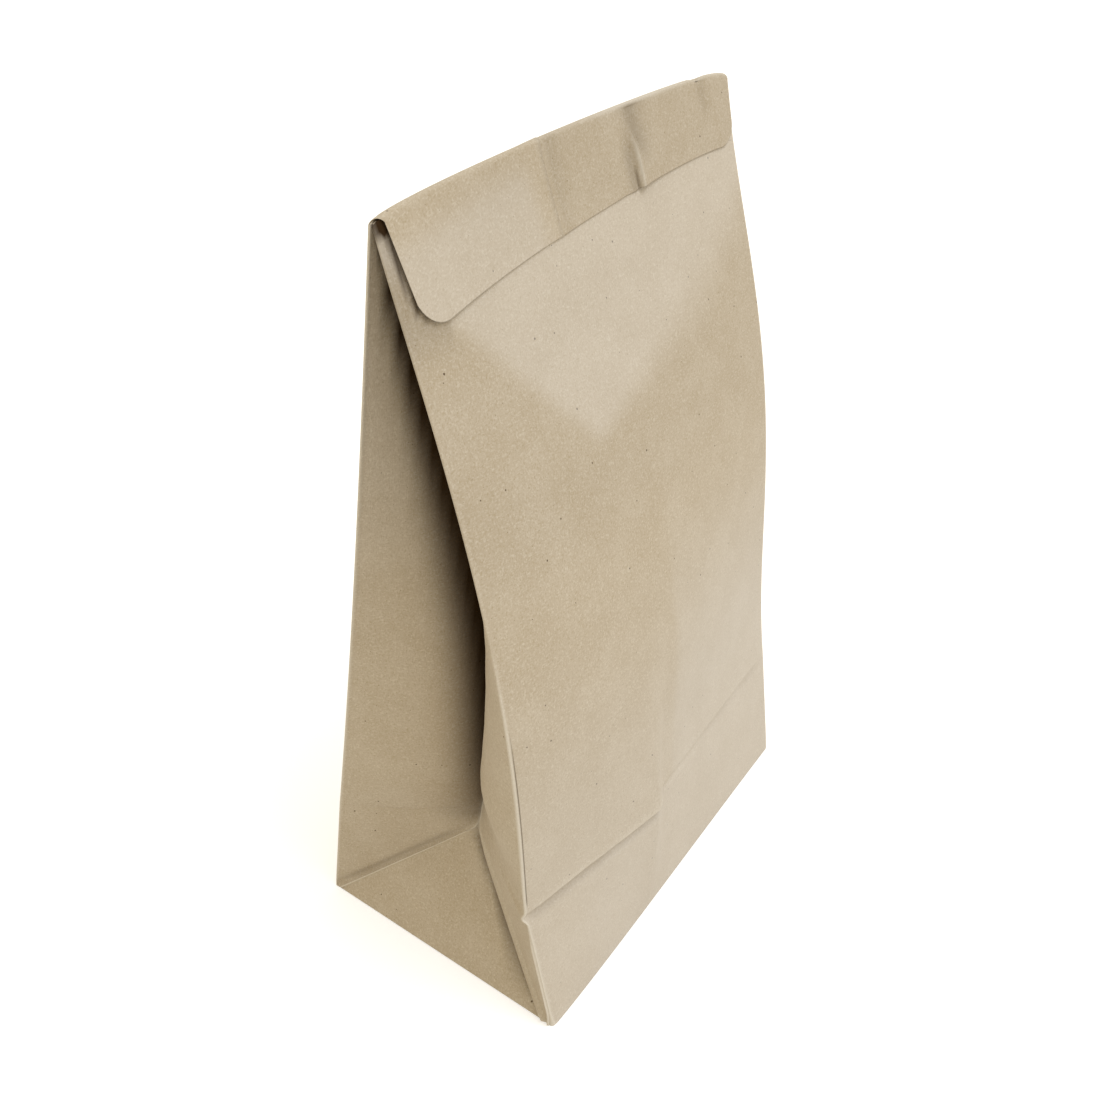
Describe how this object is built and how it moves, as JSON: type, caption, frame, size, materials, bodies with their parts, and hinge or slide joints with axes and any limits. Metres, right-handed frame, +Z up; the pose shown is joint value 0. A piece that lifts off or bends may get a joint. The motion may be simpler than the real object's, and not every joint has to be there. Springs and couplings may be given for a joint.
{
  "type": "paper lunch bag",
  "caption": "Upright gusseted kraft paper bag on a flat block bottom, closed by a lip with round corners folded forward over the front.",
  "frame": {"origin": "on the surface the bag stands on, at the middle of its bottom", "axes": "+Z up, -Y towards the front, over which the lip is folded, +X along the width to the bag's right as seen from the front"},
  "size_m": [0.1524, 0.0946, 0.2457],
  "materials": {
    "kraft_paper": "matte natural kraft with short darker fibres and specks"
  },
  "bodies": {
    "root": {"paper_bag": "kraft_paper"}
  },
  "joints": []
}
